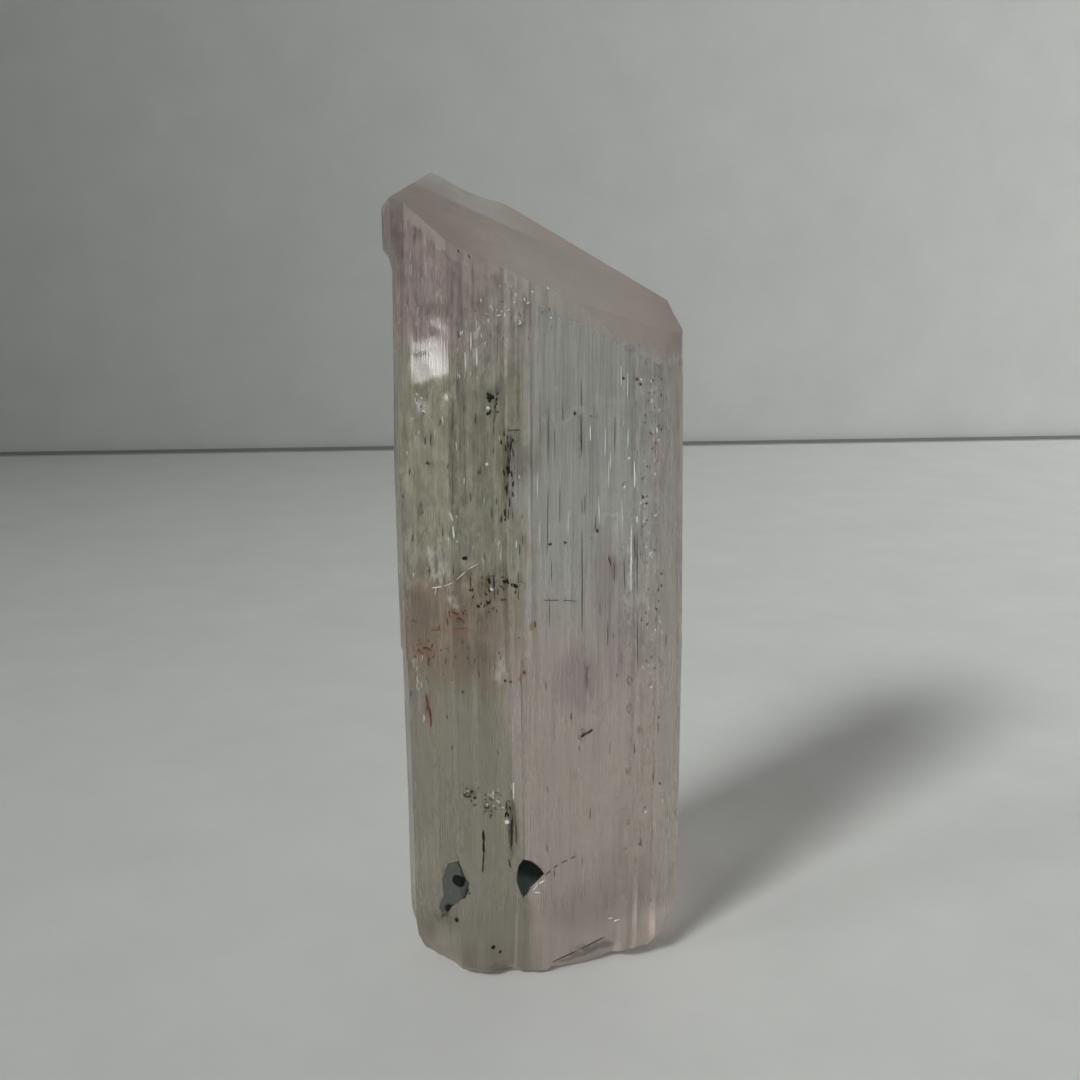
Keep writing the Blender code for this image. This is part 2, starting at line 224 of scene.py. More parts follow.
class Recipe:
    """One material being put together from nodes."""

    def __init__(self, name):
        self.material = bpy.data.materials.new(name)
        self.material.use_nodes = True
        self.tree = self.material.node_tree
        self.tree.nodes.clear()
        self.turned = {}

    def add(self, kind, settings=None, values=None, output=0):
        """Add a node, set it up, fill or link its sockets, and hand back one of its outputs."""
        node = self.tree.nodes.new(kind)
        for key, value in (settings or {}).items():
            setattr(node, key, value)
        for key, value in (values or {}).items():
            socket = self.find(node.inputs, key)
            if isinstance(value, Socket):
                self.tree.links.new(value.output, socket)
            elif socket.type == "RGBA" and len(value) == 3:
                socket.default_value = (*value, 1.0)
            else:
                socket.default_value = value
        return Socket(self, self.find(node.outputs, output))

    @staticmethod
    def find(sockets, key):
        if isinstance(key, int):
            return sockets[key]
        for socket in sockets:
            if socket.identifier == key:
                return socket
        return sockets[key]

    def place(self, scale=(1.0, 1.0, 1.0), turn=0.0):
        """Object coordinates in millimetres, turned about the upright axis and then stretched."""
        if turn not in self.turned:
            coordinates = self.add("ShaderNodeTexCoord", output="Object")
            settings = {"vector_type": "TEXTURE"} if turn else {}
            values = {"Vector": coordinates, "Rotation": (0.0, 0.0, turn)}
            self.turned[turn] = self.add("ShaderNodeMapping", settings, values)
        per_mm = [value / MM for value in scale]
        values = {0: self.turned[turn], 1: per_mm}
        return self.add("ShaderNodeVectorMath", {"operation": "MULTIPLY"}, values)

    def face_point(self, across, up):
        """One point on the wide face from its two coordinates."""
        return self.add("ShaderNodeCombineXYZ", values={"X": across, "Z": up})

    def split(self, vector):
        values = {"Vector": vector}
        return [self.add("ShaderNodeSeparateXYZ", values=values, output=axis) for axis in range(3)]

    def noise(self, scale, detail=2.0, roughness=0.55, seed=0.0):
        """Soft noise whose features are one over the scale, in millimetres, along each axis."""
        offset = [step * seed for step in NOISE_STEP]
        place = self.place(scale, TURN)
        place = self.add("ShaderNodeVectorMath", {"operation": "ADD"}, {0: place, 1: offset})
        values = {"Vector": place, "Scale": 1.0, "Detail": detail, "Roughness": roughness}
        return self.add("ShaderNodeTexNoise", values=values)

    def dim(self, shade, share):
        """Multiply a colour by a number."""
        return self.add("ShaderNodeVectorMath", {"operation": "SCALE"}, {0: shade, 3: share})

    def mix(self, first, second, share):
        """Blend two colours."""
        values = {"Factor_Float": share, "A_Color": first, "B_Color": second}
        return self.add("ShaderNodeMix", {"data_type": "RGBA"}, values, "Result_Color")

    def finish(self, surface, volume=None):
        """Link the surface, and the inside where there is one, and hand back the material."""
        node = self.tree.nodes.new("ShaderNodeOutputMaterial")
        self.tree.links.new(surface.output, node.inputs["Surface"])
        if volume:
            self.tree.links.new(volume.output, node.inputs["Volume"])
        return self.material

    def stone(self, shade, roughness, gloss, bump=None):
        """Finish as an opaque stone."""
        values = {"Base Color": shade, "Roughness": roughness, "Specular IOR Level": gloss}
        if bump:
            values["Normal"] = bump
        return self.finish(self.add("ShaderNodeBsdfPrincipled", values=values))

    def bump(self, height, strength, depth):
        """Fine relief from a height, as deep as the given millimetres."""
        values = {"Strength": strength, "Distance": depth * MM, "Height": height}
        return self.add("ShaderNodeBump", values=values)


def oval(x, z, middle, radii, soft):
    """1 inside an upright oval, and 0 outside it."""
    reach = (((x - middle[0]) / radii[0]) ** 2 + ((z - middle[1]) / radii[1]) ** 2) ** 0.5
    return 1 - reach.rise(1 - soft, 1 + soft)


# Smudges, films and clouds on the front: the middle, half width and half height of each in the picture
STAINS_AND_SHADE = (
    (492, 397, 8, 8), (508, 470, 6, 46), (512, 828, 6, 30), (415, 616, 17, 24), (612, 567, 7, 14),
    (597, 530, 5, 5), (478, 655, 13, 17), (438, 307, 13, 10), (400, 214, 6, 8), (500, 966, 11, 5),
    # On this row, the smudge at 500, 966 is painted shadow below the notch at the foot
    (587, 675, 4, 15), (489, 806, 7, 6), (581, 433, 3, 24), (518, 462, 22, 20), (442, 914, 11, 7),
    (453, 452, 3, 60), (592, 947, 22, 6), (425, 925, 10, 18), (474, 794, 7, 7), (492, 585, 18, 12),
)
RUSTS = (
    (456, 616, 11, 8), (424, 648, 10, 9), (430, 708, 4.5, 20), (455, 629, 28, 2.5), (524, 673, 4, 3),
    (534, 625, 3, 5),
)
# Whitish clouds, partly painted reflection off healed cracks
CLOUDS = (
    (456, 603, 9, 7), (439, 566, 11, 20), (412, 690, 7, 44), (502, 662, 8, 17), (611, 517, 13, 4),
    (421, 407, 8, 8), (631, 590, 3, 70), (480, 350, 7, 26), (512, 790, 2.5, 10), (655, 410, 4, 30),
)
MAUVES = ((606, 585, 17, 58), (622, 640, 16, 50), (575, 680, 24, 34), (438, 318, 16, 16))
# A flat chip low on the right, where the skin is painted dark olive, partly as painted shade under its
# undercut edge
SHADED_CHIPS = ((604, 945, 10, 6), (592, 950, 11, 5), (580, 955, 11, 3.5), (567, 960, 10, 2.5))
# The window's glint on the left front facet: its middle, how far round it the skin is flat in millimetres,
# the shares of that reach between which the flat part fades, and half the size of the polish in pixels
GLINT = (431, 362)
GLINT_REACH = (1.75, 3.1)
GLINT_FADE = (0.92, 1.2)
GLINT_POLISH = (38, 58)
GLINT_PLACE, GLINT_NORMAL = seen_at(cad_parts["kunzite_crystal"], *GLINT)


def from_glint(place):
    """How far a place is from the middle of the glint: 1 at its border."""
    away = (place - GLINT_PLACE) / MM
    return max(abs(away.x) / GLINT_REACH[0], abs(away.z) / GLINT_REACH[1]) if place.y < 0 else math.inf


def flatten_glint(obj):
    """Lay the skin flat on one facet round the window's glint."""
    for vertex in obj.data.vertices:
        offset = (vertex.co - GLINT_PLACE).dot(GLINT_NORMAL)
        share = 1 - ramp(from_glint(vertex.co), *GLINT_FADE)
        if abs(offset) < 0.5 * MM and share > 0:
            vertex.co -= GLINT_NORMAL * (offset * share)


# The slanted tip lies above this height in millimetres
TIP_FOOT = 35.0


def slanted_face():
    """The outward direction of the slanted tip and its distance from the origin."""
    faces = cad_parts["kunzite_crystal"].data.polygons
    top = [face for face in faces if face.normal.z > 0.35 and face.center.z > TIP_FOOT * MM]
    area = sum(face.area for face in top)
    normal = sum((face.normal * face.area for face in top), Vector()).normalized()
    middle = sum((face.center * face.area for face in top), Vector()) / area
    return normal, middle.dot(normal)


# Where the clear zone, the striae and the etched strip lie, in millimetres across and up
CLEAR_ACROSS = (-2.0, 8.0)
STRIATED_UP = (15.0, 26.0)
ETCHED_ACROSS = (5.6, 8.1)


class KunziteFinish:
    """The clear kunzite, put together zone by zone."""

    def __init__(self, colours):
        self.colours = colours
        self.recipe = recipe = Recipe("clear_kunzite")
        self.across, self.through, self.up = recipe.split(recipe.place(turn=TURN))
        self.wander = recipe.noise((0.30, 0.30, 0.20), 1.0, 0.6, 2.0)
        self.ragged = recipe.noise((1.7, 1.7, 1.0), 2.0, 0.7, 5.0)
        self.streaks = recipe.noise((3.4, 3.4, 0.07), 1.0, 0.6, 9.0)
        self.hairs = recipe.noise((8.5, 8.5, 0.16), 1.0, 0.65, 3.0)
        self.wide = self.across + (self.wander - 0.5) * 4.0 + (self.streaks - 0.5) * 2.0
        self.high = self.up + (self.wander - 0.5) * 6.0 + (self.ragged - 0.5) * 4.0
        self.left = 1 - self.wide.rise(-3.4, -1.0)
        self.front = 1 - self.through.rise(-2.5, -1.5)

    def zones(self):
        """The broad colour zones of the prism, with limits in millimetres."""
        colours, mix, wide, high = self.colours, self.recipe.mix, self.wide, self.high
        clear_zone = wide.band(*CLEAR_ACROSS, 1.0) * high.rise(23.0, 34.0)
        border = self.across + self.up * 0.12 + 1.1 + (self.streaks - 0.5) * 0.6
        beige_zone = (1 - border.rise(-0.25, 0.25)) * (1 - high.rise(26.0, 32.0))
        olive_zone = self.left * high.band(28.0, 47.0, 2.0)
        lilac_zone = (1 - wide.rise(-7.5, -4.5)) * high.rise(46.5, 50.0)
        brown_band = high.band(23.5, 31.0, 1.2) * (1 - wide.rise(-5.0, -1.5))
        smooth_strip = self.across.rise(8.15, 8.35)
        tint = mix(colours.pink, colours.clear, clear_zone)
        tint = mix(tint, colours.beige, beige_zone)
        tint = mix(tint, colours.olive, olive_zone)
        tint = mix(tint, colours.lilac, lilac_zone)
        tint = mix(tint, colours.brown, brown_band * 0.9)
        return mix(tint, colours.side, smooth_strip * 0.8)

    def tip_mask(self):
        """1 on the slanted tip, and 0 below its ragged edge, which runs lower on the right."""
        normal, level = slanted_face()
        values = {0: self.recipe.place(turn=0.0), 1: normal}
        above = self.recipe.add("ShaderNodeVectorMath", {"operation": "DOT_PRODUCT"}, values, "Value")
        drop = self.across.rise(-5.0, 0.0) * 0.75
        return (above - level / MM + (self.ragged - 0.5) * 0.9 + drop).rise(-0.75, -0.05)

    def tip_tint(self):
        """The frosted colours of the slanted tip, with limits in millimetres."""
        colours, mix, across, through = self.colours, self.recipe.mix, self.across, self.through
        brown_band = (self.wander - 0.5).rise(-0.3, 0.3) * through.band(-0.2, 1.8, 0.5)
        pink_end = across.rise(0.0, 6.0)
        grey_facet = through.rise(1.5, 2.1) * (1 - across.rise(-3.0, -0.5))
        lilac_corner = (1 - self.wide.rise(-7.0, -2.5)) * (1 - through.rise(-2.5, 1.0))
        tint = mix(colours.tip, colours.tip_brown, brown_band)
        tint = mix(tint, colours.tip_pink, pink_end * 0.8)
        tint = mix(tint, colours.tip_grey, grey_facet)
        tint = mix(tint, colours.lilac, lilac_corner * 0.5)
        return self.recipe.dim(tint, 0.84 + self.wander * 0.32)

    def patches(self, spot, rows):
        """1 inside any of a list of ovals on the front, fading to 0 outside them all."""
        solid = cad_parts["kunzite_crystal"]
        total = None
        for u, v, half_width, half_height in rows:
            place, _ = seen_at(solid, u, v)
            per_pixel = pixel_size(place) / MM
            shrink = (1 / (half_width * per_pixel), 0.0, 1 / (half_height * per_pixel))
            shift = (-place.dot(ACROSS) / MM * shrink[0], 0.0, -place.z / MM * shrink[2])
            values = {0: spot, 1: shrink, 2: shift}
            reach = self.recipe.add("ShaderNodeVectorMath", {"operation": "MULTIPLY_ADD"}, values)
            distance = self.recipe.add("ShaderNodeVectorMath", {"operation": "LENGTH"}, {0: reach}, "Value")
            inside = 1 - distance.rise(0.55, 1.3)
            total = inside if total is None else total.larger(inside)
        return total * self.front

    def marks(self, tint, face, cloud, spot):
        """The clouds, smudges, films and the chip that lie over the zones; parts of the chip and of one
        smudge are painted shade, and parts of the clouds painted reflection.
        """
        colours, mix = self.colours, self.recipe.mix
        stain_and_shade = self.patches(spot, STAINS_AND_SHADE)
        rust = self.patches(spot, RUSTS)
        tint = mix(tint, colours.mauve, self.patches(spot, MAUVES) * 0.85)
        tint = mix(tint, colours.shaded_chip, self.patches(face, SHADED_CHIPS) * 0.85)
        speckled = self.ragged.rise(0.40, 0.60)
        tint = mix(tint, colours.stain_and_shade, stain_and_shade * (0.25 + speckled * 0.5))
        tint = mix(tint, colours.rust, rust * (0.3 + speckled * 0.6))
        return mix(tint, colours.pale, cloud * (0.25 + speckled * 0.5))

    def material(self):
        recipe, ragged, streaks, hairs = self.recipe, self.ragged, self.streaks, self.hairs
        tip = self.tip_mask()
        tint = recipe.mix(self.zones(), self.tip_tint(), tip)
        aside = (ragged - 0.5) * 1.1
        upward = (self.wander - 0.5) * 1.0 + (ragged - 0.5) * 1.4
        spot = recipe.face_point(self.across + aside, self.up + upward)
        face = recipe.face_point(self.across, self.up)
        # Whitish clouds in the colour, partly painted reflection off healed cracks; they also roughen the
        # skin
        cloud = self.patches(spot, CLOUDS)
        tint = self.marks(tint, face, cloud, spot)

        etched = self.across.band(*ETCHED_ACROSS, 0.3) * (1 - tip)
        mottled = 0.3 + etched * 0.9 + self.left * self.high.rise(24.0, 30.0) * 1.6
        lines = (hairs - 0.5) * 1.0 + (streaks - 0.5) * 0.7 + (ragged - 0.5) * mottled
        plain = (0.3 + self.high.rise(*STRIATED_UP) * 0.7) * (1 - tip * 0.8)
        tint = recipe.dim(tint, (1 + lines * plain).larger(0.2))

        low = 1 - self.up.rise(2.0, 7.0)
        pane = self.patches(face, ((*GLINT, *GLINT_POLISH),))
        clearest = self.high.rise(32.0, 40.0) * self.wide.band(*CLEAR_ACROSS, 1.0)
        roughness = 0.21 + (self.wander - 0.4) * 0.25 + (streaks - 0.5) * 0.25 + (hairs - 0.5) * 0.25
        roughness = roughness + cloud * 0.15 + low * 0.16 + tip * 0.5 - clearest * 0.08
        roughness = roughness.larger(0.06) * (1 - pane * 0.92)
        striated = hairs * (0.4 + self.up.rise(*STRIATED_UP) * 0.6)
        relief = (striated + ragged * (0.3 + etched * 1.2)) * (1 - pane * 0.97)

        values = {
            "Base Color": tint,
            "Roughness": roughness,
            "IOR": 1.66,
            "Transmission Weight": 0.82,
            "Normal": recipe.bump(relief, 0.5, 0.06),
        }
        body = recipe.add("ShaderNodeBsdfPrincipled", values=values)
        lit = recipe.add("ShaderNodeBsdfTransparent", values={"Color": (0.27, 0.25, 0.25)})
        shadow = recipe.add("ShaderNodeLightPath", output="Is Shadow Ray")
        surface = recipe.add("ShaderNodeMixShader", values={0: shadow, 1: body, 2: lit})
        inner = {"Color": (0.93, 0.88, 0.86), "Density": 14.0}
        return recipe.finish(surface, recipe.add("ShaderNodeVolumeAbsorption", values=inner))


def fleck_stone(name, shade, roughness):
    """A small opaque fleck with a slightly cloudy colour; the pale kind's sparks are painted highlights."""
    recipe = Recipe(name)
    cloud = recipe.noise((3.0, 3.0, 3.0), 2.0)
    return recipe.stone(recipe.dim(shade, 0.7 + cloud * 0.6), roughness, 0.2)


# Black marks on the grey grain, in millimetres: a blob, a bar below it and the leaning right rim
BLOB = (-6.12, 8.25)
BAR = (-6.75, 5.75)
RIM_HEIGHT = 7.3
RIM_EDGE = (-5.75, -5.45)


def grey_grain_stone(colours):
    """Smooth grey mineral with a black blob and black rims."""
    recipe = Recipe("grey_grain_stone")
    x, _, z = recipe.split(recipe.place())
    cloud = recipe.noise((1.4, 1.4, 1.4), 4.0, 0.6)
    x = x + (cloud - 0.5) * 0.5
    blob = oval(x, z, BLOB, radii=(0.5, 0.5), soft=0.1)
    rim = (x + (z - RIM_HEIGHT) * -0.32).rise(*RIM_EDGE)
    bar = oval(x, z, BAR, radii=(0.5, 0.4), soft=0.3)
    dark = blob.larger(rim).larger(bar)
    paler = (0.16, 0.17, 0.155)
    black = (0.003, 0.004, 0.004)
    shade = recipe.mix(colours.grey_grain, paler, cloud.rise(0.5, 0.8) * 0.6)
    shade = recipe.mix(shade, black, dark)
    return recipe.stone(shade, 0.45 - dark * 0.15, 0.18, recipe.bump(cloud, 0.4, 0.05))


def black_grain_stone(colours):
    """Teal black mineral, paler below a slanting border."""
    recipe = Recipe("black_grain_stone")
    x, _, z = recipe.split(recipe.place())
    cloud = recipe.noise((2.2, 2.2, 1.6), 4.0, 0.6, 4.0)
    z = z + (cloud - 0.5) * 1.2
    below = 1 - (z + x * 0.5).rise(7.2, 8.3)
    paler = (0.035, 0.044, 0.039)
    shade = recipe.mix(colours.black_grain, paler, below)
    return recipe.stone(shade, 0.25 + cloud * 0.25, 0.15, recipe.bump(cloud, 0.5, 0.06))


def pick(*objects):
    """Leave only these objects selected, with the first one active."""
    if bpy.context.mode != "OBJECT":
        bpy.ops.object.mode_set(mode="OBJECT")
    bpy.ops.object.select_all(action="DESELECT")
    for obj in objects:
        obj.select_set(True)
    bpy.context.view_layer.objects.active = objects[0]


@contextmanager
def editing(obj):
    """Work on an object in edit mode, with all of it selected at first."""
    pick(obj)
    bpy.ops.object.mode_set(mode="EDIT")
    bpy.ops.mesh.select_all(action="SELECT")
    yield
    bpy.ops.object.mode_set(mode="OBJECT")


def copy_of_node(node, name):
    """A free copy of a solid, with its triangles merged into flat faces and its stored shading dropped."""
    obj = node.copy()
    obj.data = node.data.copy()
    obj.parent = None
    for key in list(obj.keys()):
        del obj[key]
    obj.name = name
    obj.data.materials.clear()
    bpy.context.scene.collection.objects.link(obj)
    pick(obj)
    bpy.ops.mesh.customdata_custom_splitnormals_clear()
    with editing(obj):
        bpy.ops.mesh.remove_doubles(threshold=0.002 * MM)
        bpy.ops.mesh.dissolve_limited(angle_limit=math.radians(0.5))
    return obj


# How far a pit's walls lie from its grain in the solid, and how far out the skin is drawn in
OPEN_GAP = 0.31 * MM
GAP_REACH = 0.55 * MM


def close_pit(crystal, grain, seam):
    """Draw the walls of a pit in, until only a hairline is left round the grain."""
    for vertex in crystal.data.vertices:
        found, nearest, _, _ = grain.closest_point_on_mesh(vertex.co, distance=GAP_REACH)
        if not found:
            continue
        away = vertex.co - nearest
        if away.length < OPEN_GAP:
            distance = seam * away.length / OPEN_GAP
        else:
            distance = seam + (away.length - OPEN_GAP) * (GAP_REACH - seam) / (GAP_REACH - OPEN_GAP)
        vertex.co = nearest + away.normalized() * min(distance, away.length)


def steps(low, high, step):
    """Evenly spaced places between two limits."""
    count = int((high - low) / step)
    return [low + step * (index + 0.5) for index in range(count)]


def slice_up(obj, direction, places):
    """Cut the skin along many parallel planes, so that fine relief has corners to move."""
    with editing(obj):
        for place in places:
            bpy.ops.mesh.select_all(action="SELECT")
            bpy.ops.mesh.bisect(plane_co=direction * place, plane_no=direction)


def weigh(obj, name, rule):
    """Make a vertex group whose weights come from each corner's place and outward direction."""
    group = obj.vertex_groups.new(name=name)
    for vertex in obj.data.vertices:
        weight = max(0.0, min(1.0, rule(vertex.co / MM, vertex.normal)))
        if weight > 0.0:
            group.add([vertex.index], weight, "REPLACE")


def ramp(value, low, high):
    """0 at one value, 1 at another, straight between them."""
    return max(0.0, min(1.0, (value - low) / (high - low)))


def roughen(obj, group, cell, strength, still):
    """Push the skin in and out by a noise with cells in millimetres, and keep it still at one value."""
    guide = bpy.data.objects.new("guide", None)
    bpy.context.scene.collection.objects.link(guide)
    guide.rotation_euler.z = TURN
    guide.scale = Vector(cell) * MM
    bpy.context.view_layer.update()
    texture = bpy.data.textures.new(group, "CLOUDS")
    texture.noise_scale = 1.0
    texture.noise_depth = 2
    modifier = obj.modifiers.new(group, "DISPLACE")
    modifier.texture = texture
    modifier.texture_coords = "OBJECT"
    modifier.texture_coords_object = guide
    modifier.vertex_group = group
    modifier.strength = strength
    modifier.mid_level = still
    pick(obj)
    bpy.ops.object.modifier_apply(modifier=modifier.name)
    bpy.data.objects.remove(guide)
    bpy.data.textures.remove(texture)


def keep_inside(obj):
    """Bring every corner of a piece inside the solid's own box."""
    for vertex in obj.data.vertices:
        limits = zip(CAD_LOW, CAD_HIGH, vertex.co)
        vertex.co = [max(low, min(high, value)) for low, high, value in limits]


def mend_skin(obj):
    """Merge the corners that the fine cuts left almost in one place, and turn every face outward."""
    with editing(obj):
        bpy.ops.mesh.remove_doubles(threshold=0.003 * MM)
        bpy.ops.mesh.normals_make_consistent(inside=False)


def is_wall(normal):
    """1 on the upright faces, and 0 on the tip and under the base."""
    return 1.0 - ramp(abs(normal.z), 0.25, 0.45)


GRAINS = ("dark_grain_left", "dark_grain_right")


def grain_places():
    """The middle and half size of each dark grain, in millimetres."""
    places = []
    for grain in GRAINS:
        low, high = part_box(grain)
        places.append(((low + high) / 2 / MM, (high - low) / 2 / MM))
    return places


GRAIN_PLACES = grain_places()


def off_the_grains(place):
    """0 by the dark grains and 1 from 0.7 mm away from them, so their pits keep their shape."""
    if place.y > 0:
        return 1.0
    away = math.inf
    for middle, half in GRAIN_PLACES:
        away = min(away, max(abs(place.x - middle.x) - half.x, abs(place.z - middle.z) - half.z))
    return ramp(away, 0.1, 0.7)


def on_walls(place, normal):
    """The strength of the striae, weaker low down and gone at the foot and by the grains."""
    calm = 0.45 + 0.55 * ramp(place.z, 14.0, 26.0)
    return is_wall(normal) * ramp(place.z, 2.5, 6.0) * off_the_grains(place) * calm


def on_etched_side(place, normal):
    """The strength of the dimples, full on the right of the front and faint behind it."""
    front = 1.0 if place.y < 0 else 0.3
    right = ramp(place.dot(ACROSS), 4.6, 5.8)
    return is_wall(normal) * ramp(place.z, 3.0, 7.0) * front * right


def on_broken_base(place, normal):
    """The strength of the waves on the base, with the resting patch left flat."""
    return ramp(place.z, 0.15, 0.8) * (1.0 - ramp(place.z, 3.0, 5.5)) * off_the_grains(place)


def on_tip(place, normal):
    """The strength of the swells on the slanted tip."""
    return ramp(normal.z, 0.3, 0.6) * ramp(place.z, TIP_FOOT, TIP_FOOT + 5.0)


# The fine relief: its name, where it lies, the size for its depth, its cells in millimetres, and the value
# of the noise that leaves the skin still
RELIEF = (
    ("coarse striae", on_walls, "coarse_relief", (0.55, 0.55, 16.0), 0.55),
    ("fine striae", on_walls, "fine_relief", (0.2, 0.2, 7.0), 0.55),
    ("etched dimples", on_etched_side, "etch_relief", (0.5, 0.5, 0.9), 0.6),
    ("broken base", on_broken_base, "break_relief", (1.3, 1.3, 0.9), 0.65),
    ("tip swells", on_tip, "tip_relief", (2.2, 2.2, 2.2), 0.6),
)
# The cuts through the turned stone run on past its box by this share
OVERRUN = 1.1


class KUNZITE_OT_crystal(bpy.types.Operator):
    """Make the crystal's visible body, with striae, etched dimples and a broken base"""

    bl_idname = "kunzite.crystal"
    bl_label = "Crystal body"

    def execute(self, context):
        sizes = context.scene.kunzite_sizes
        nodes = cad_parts
        obj = copy_of_node(nodes["kunzite_crystal"], "crystal_body")
        for name in GRAINS:
            close_pit(obj, nodes[name], sizes.grain_seam)
        half = (CAD_HIGH - CAD_LOW).xy.length / 2
        slice_up(obj, UP, steps(0.0, TIP_Z, sizes.level_step))
        slice_up(obj, ACROSS, steps(-half, half, sizes.stria_step))
        slice_up(obj, THROUGH, steps(CAD_LOW.y * OVERRUN, CAD_HIGH.y * OVERRUN, sizes.side_step))
        # The relief turns the skin, so every weight is set before it
        for name, rule, _, _, _ in RELIEF:
            weigh(obj, name, rule)
        for name, _, size, cell, still in RELIEF:
            roughen(obj, name, cell, getattr(sizes, size), still)
        obj.vertex_groups.clear()
        flatten_glint(obj)
        keep_inside(obj)
        mend_skin(obj)
        bpy.ops.object.shade_smooth_by_angle(angle=math.radians(28.0))
        obj.data.materials.append(KunziteFinish(context.scene.kunzite_colours).material())
        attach(obj, BODY)
        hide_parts("kunzite_crystal")
        return {"FINISHED"}


class KUNZITE_OT_grains(bpy.types.Operator):
    """Make the two dark grains that sit in open pits low on the front"""

    bl_idname = "kunzite.grains"
    bl_label = "Dark grains"

    def execute(self, context):
        colours = context.scene.kunzite_colours
        self.grain("dark_grain_left", "grey_grain", grey_grain_stone(colours), "grey_grain")
        self.grain("dark_grain_right", "black_grain", black_grain_stone(colours), "black_grain")
        return {"FINISHED"}

    def grain(self, node, name, material, slot):
        obj = copy_of_node(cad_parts[node], name)
        step = 0.25 * MM
        slice_up(obj, Vector((1.0, 0.0, 0.0)), steps(CAD_LOW.x, CAD_HIGH.x, step))
        slice_up(obj, UP, steps(0.0, 12.0 * MM, step))
        weigh(obj, "lumps", lambda place, normal: 1.0)
        roughen(obj, "lumps", (0.8, 0.8, 0.8), strength=0.12 * MM, still=0.8)
        pick(obj)
        bpy.ops.object.shade_smooth_by_angle(angle=math.radians(40.0))
        obj.data.materials.append(material)
        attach(obj, BODY)
        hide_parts(node)


def tiny_stone():
    """One rough little lump with a radius of one, copied for every fleck."""
    bpy.ops.mesh.primitive_ico_sphere_add(subdivisions=1, radius=1.0)
    obj = bpy.context.object
    with editing(obj):
        bpy.ops.transform.vertex_random(offset=0.22, seed=3)
    return obj


def lay_flecks(name, places, material):
    """Copy one little lump to each place, and join the copies into a single piece."""
    first = tiny_stone()
    copies = []
    for middle, along, normal, half_length, half_width, half_depth in places:
        copy = first.copy()
        copy.data = first.data.copy()
        bpy.context.scene.collection.objects.link(copy)
        aside = normal.cross(along).normalized()
        axes = Matrix((aside.cross(normal), aside, normal)).transposed()
        size = (half_length, half_width, half_depth)
        copy.matrix_world = Matrix.LocRotScale(middle, axes.to_quaternion(), size)
        copies.append(copy)
    bpy.data.objects.remove(first)
    pick(*copies)
    bpy.ops.object.transform_apply()
    bpy.ops.object.join()
    obj = bpy.context.object
    obj.name = name
    keep_inside(obj)
    obj.data.materials.append(material)
    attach(obj, BODY)


# A fleck's least and most half thickness, the share of it that its middle stands out, how much longer it is
# than its stroke, and how much longer than it looks the stroke may be where the skin turns away
FLECK_DEPTH = (0.07 * MM, 0.11 * MM)
FLECK_RAISED = 0.4
FLECK_COVER = 1.1
FLECK_STRETCH = 1.5


def stroke(crystal, u0, v0, u1, v1, width):
    """A fleck from one point of the picture to another, lying half sunk on the skin that shows there."""
    start, first_normal = seen_at(crystal, u0, v0)
    end, last_normal = seen_at(crystal, u1, v1)
    middle, normal = seen_at(crystal, (u0 + u1) / 2, (v0 + v1) / 2)
    normal = (first_normal + normal + last_normal).normalized()
    per_pixel = pixel_size(middle)
    half_width = width / 2 * per_pixel
    along = end - start
    seen_length = math.hypot(u1 - u0, v1 - v0) * per_pixel
    half_length = max(min(along.length, FLECK_STRETCH * seen_length) / 2 * FLECK_COVER, half_width)
    half_depth = max(FLECK_DEPTH[0], min(half_width, FLECK_DEPTH[1]))
    middle = middle + normal * (FLECK_RAISED * half_depth)
    return middle, along.normalized(), normal, half_length, half_width, half_depth


def crumbled(draw, dots):
    """Rows for five short strokes in a ragged cluster at each dot, given as its middle and radius."""
    rows = []
    for u, v, radius in dots:
        reach = radius * 0.55
        box = (u - reach, v - reach, u + reach, v + reach)
        rows += sprinkled(draw, 5, box, width=radius * 0.75, tall=radius * 1.5, lean=80)
    return rows


def sprinkled(draw, count, box, width, tall, lean):
    """Rows for strokes dropped at random in a box of the picture, leaning at most so many degrees."""
    rows = []
    for _ in range(count):
        u, v = draw.uniform(box[0], box[2]), draw.uniform(box[1], box[3])
        angle = math.radians(draw.uniform(-lean, lean))
        reach = tall * draw.uniform(0.4, 1.2) / 2
        du, dv = reach * math.sin(angle), reach * math.cos(angle)
        rows.append((u - du, v - dv, u + du, v + dv, width * draw.uniform(0.7, 1.2)))
    return rows


# Random flecks are aimed at a place inside the crystal, between these limits in millimetres
SCATTER_ACROSS = (-8.5, 9.5)
SCATTER_THROUGH = (-3.0, 3.0)
WELL_OUTSIDE = 0.05


def scattered(crystal, draw, count, heights, sizes, sides):
    """Flecks dropped at random on the skin, upright and of random size."""
    places = []
    while len(places) < count:
        turn = math.radians(draw.uniform(*sides))
        height = draw.uniform(*heights) * MM
        aside = ACROSS * draw.uniform(*SCATTER_ACROSS) * MM
        aim = aside + THROUGH * draw.uniform(*SCATTER_THROUGH) * MM + UP * height
        outward = Vector((math.sin(turn), -math.cos(turn), 0.0))
        found, place, normal, _ = crystal.ray_cast(aim + outward * WELL_OUTSIDE, -outward)
        half_width = draw.uniform(0.6, 1.0) * sizes[0] * MM
        half_length = half_width * (1 + draw.random() ** 2 * sizes[1])
        if found and is_wall(normal) > 0.5 and off_the_grains(place / MM) > 0.5:
            along = UP + ACROSS * draw.uniform(-0.15, 0.15)
            places.append((place, along, normal, half_length, half_width, half_width * 0.5))
    return places


